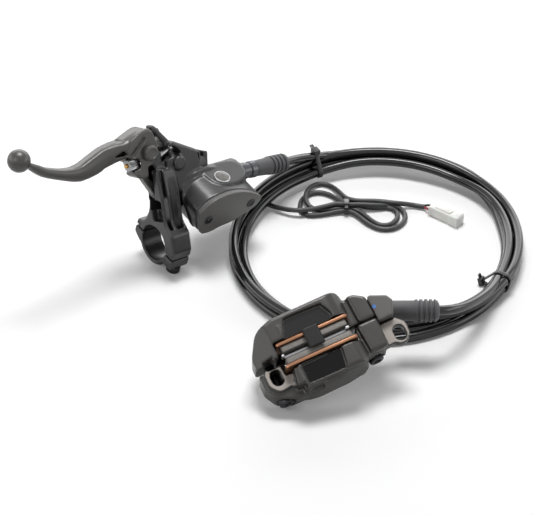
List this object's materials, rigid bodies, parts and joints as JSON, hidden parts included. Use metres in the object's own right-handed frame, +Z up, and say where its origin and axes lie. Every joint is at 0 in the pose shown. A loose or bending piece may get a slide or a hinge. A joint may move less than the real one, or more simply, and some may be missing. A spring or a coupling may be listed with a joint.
{
  "type": "bicycle front brake assembly",
  "caption": "Hydraulic front disc brake for a light electric bicycle: lever with master cylinder and reservoir, coiled hose, caliper with pads, brake switch cable with connector.",
  "frame": {"origin": "middle of the lever assembly and caliper together, on the floor they lie on", "axes": "+X to the right as the set lies, +Y away from the viewer, +Z up"},
  "size_m": [0.2993, 0.2517, 0.1032],
  "materials": {
    "black": "satin black paint",
    "satin": "satin anthracite",
    "cover": "moulded",
    "steel": "zinc plated",
    "dark_steel": "black oxide",
    "brass": "turned",
    "alloy": "turned",
    "rubber": "matt",
    "hose": "gloss black jacket",
    "glass": "clear lens over dark fluid",
    "copper": "copper plated steel",
    "lining": "sintered metal",
    "nylon": "black nylon",
    "white": "natural nylon",
    "red": "insulation"
  },
  "bodies": {
    "housings": {"master_body": "black", "clamp_cap": "black", "clamp_bolt": "dark_steel", "clamp_hinge_pin": "dark_steel", "reservoir_cover": "cover", "reservoir_diaphragm": "rubber", "cover_screw_left": "steel", "cover_screw_right": "steel", "sight_glass_bezel": "steel", "sight_glass_lens": "glass", "pivot_bolt": "satin", "pivot_bush": "brass", "piston_spring": "steel", "hose_nut": "alloy", "boot_master": "rubber", "switch_body": "black", "stop_screw": "dark_steel", "caliper_half_upper": "black", "caliper_half_lower": "black", "body_bolt_left": "dark_steel", "body_bolt_right": "dark_steel", "bleed_screw": "dark_steel", "piston_seal_upper_left": "rubber", "piston_seal_upper_right": "rubber", "piston_seal_lower_left": "rubber", "piston_seal_lower_right": "rubber", "pad_retainer": "black", "pad_spring": "steel", "hose_inlet": "satin", "boot_caliper": "rubber", "hose_lead_master": "hose", "hose_coil": "hose", "hose_lead_caliper": "hose", "coil_tie_back": "nylon", "coil_tie_right": "nylon", "switch_cable": "hose", "cable_hank": "hose", "hank_tie": "nylon", "cable_tail": "hose", "wire_black": "hose", "wire_red": "red", "connector_housing": "white"},
    "lever": {"lever": "satin"},
    "reach_adjuster": {"reach_adjuster_wheel": "steel", "reach_adjuster_screw": "brass"},
    "master_piston": {"master_piston": "alloy", "primary_seal": "rubber", "secondary_seal": "rubber"},
    "upper_pad": {"piston_upper_left": "alloy", "piston_upper_right": "alloy", "pad_upper_plate": "copper", "pad_upper_lining": "lining"},
    "lower_pad": {"piston_lower_left": "alloy", "piston_lower_right": "alloy", "pad_lower_plate": "copper", "pad_lower_lining": "lining"},
    "switch_plunger": {"switch_plunger": "steel"}
  },
  "joints": [
    {"name": "lever_pivot", "type": "hinge", "parent": "housings", "child": "lever", "pos_m": [-0.04921, 0.04607, 0.07255], "axis": [0.634, -0.705, 0.3178], "range_deg": [0, 18], "stiffness_Nm_per_rad": 0.4, "springref_deg": -20.05},
    {"name": "reach_adjuster_turn", "type": "hinge", "parent": "lever", "child": "reach_adjuster", "pos_m": [-0.05207, 0.03772, 0.06917], "axis": [0.7659, 0.6292, -0.1323], "continuous": true},
    {"name": "piston_slide", "type": "slide", "parent": "housings", "child": "master_piston", "axis": [0.7659, 0.6292, -0.1323], "range_m": [0, 0.0096], "deforming": ["piston_spring"]},
    {"name": "upper_pad_slide", "type": "slide", "parent": "housings", "child": "upper_pad", "axis": [0.4276, -0.7833, -0.4511], "range_m": [0, 0.001]},
    {"name": "lower_pad_slide", "type": "slide", "parent": "housings", "child": "lower_pad", "axis": [-0.4276, 0.7833, 0.4511], "range_m": [0, 0.001]},
    {"name": "switch_plunger_slide", "type": "slide", "parent": "housings", "child": "switch_plunger", "axis": [-0.6563, -0.7079, -0.2611], "range_m": [0, 0.0013]}
  ],
  "couplings": [
    {"joint": "piston_slide", "follows": "lever_pivot", "m_per_rad": 0.0295},
    {"joint": "upper_pad_slide", "follows": "lever_pivot", "m_per_rad": 0.0029},
    {"joint": "lower_pad_slide", "follows": "lever_pivot", "m_per_rad": 0.0029},
    {"joint": "switch_plunger_slide", "follows": "lever_pivot", "m_per_rad": 0.0038}
  ]
}
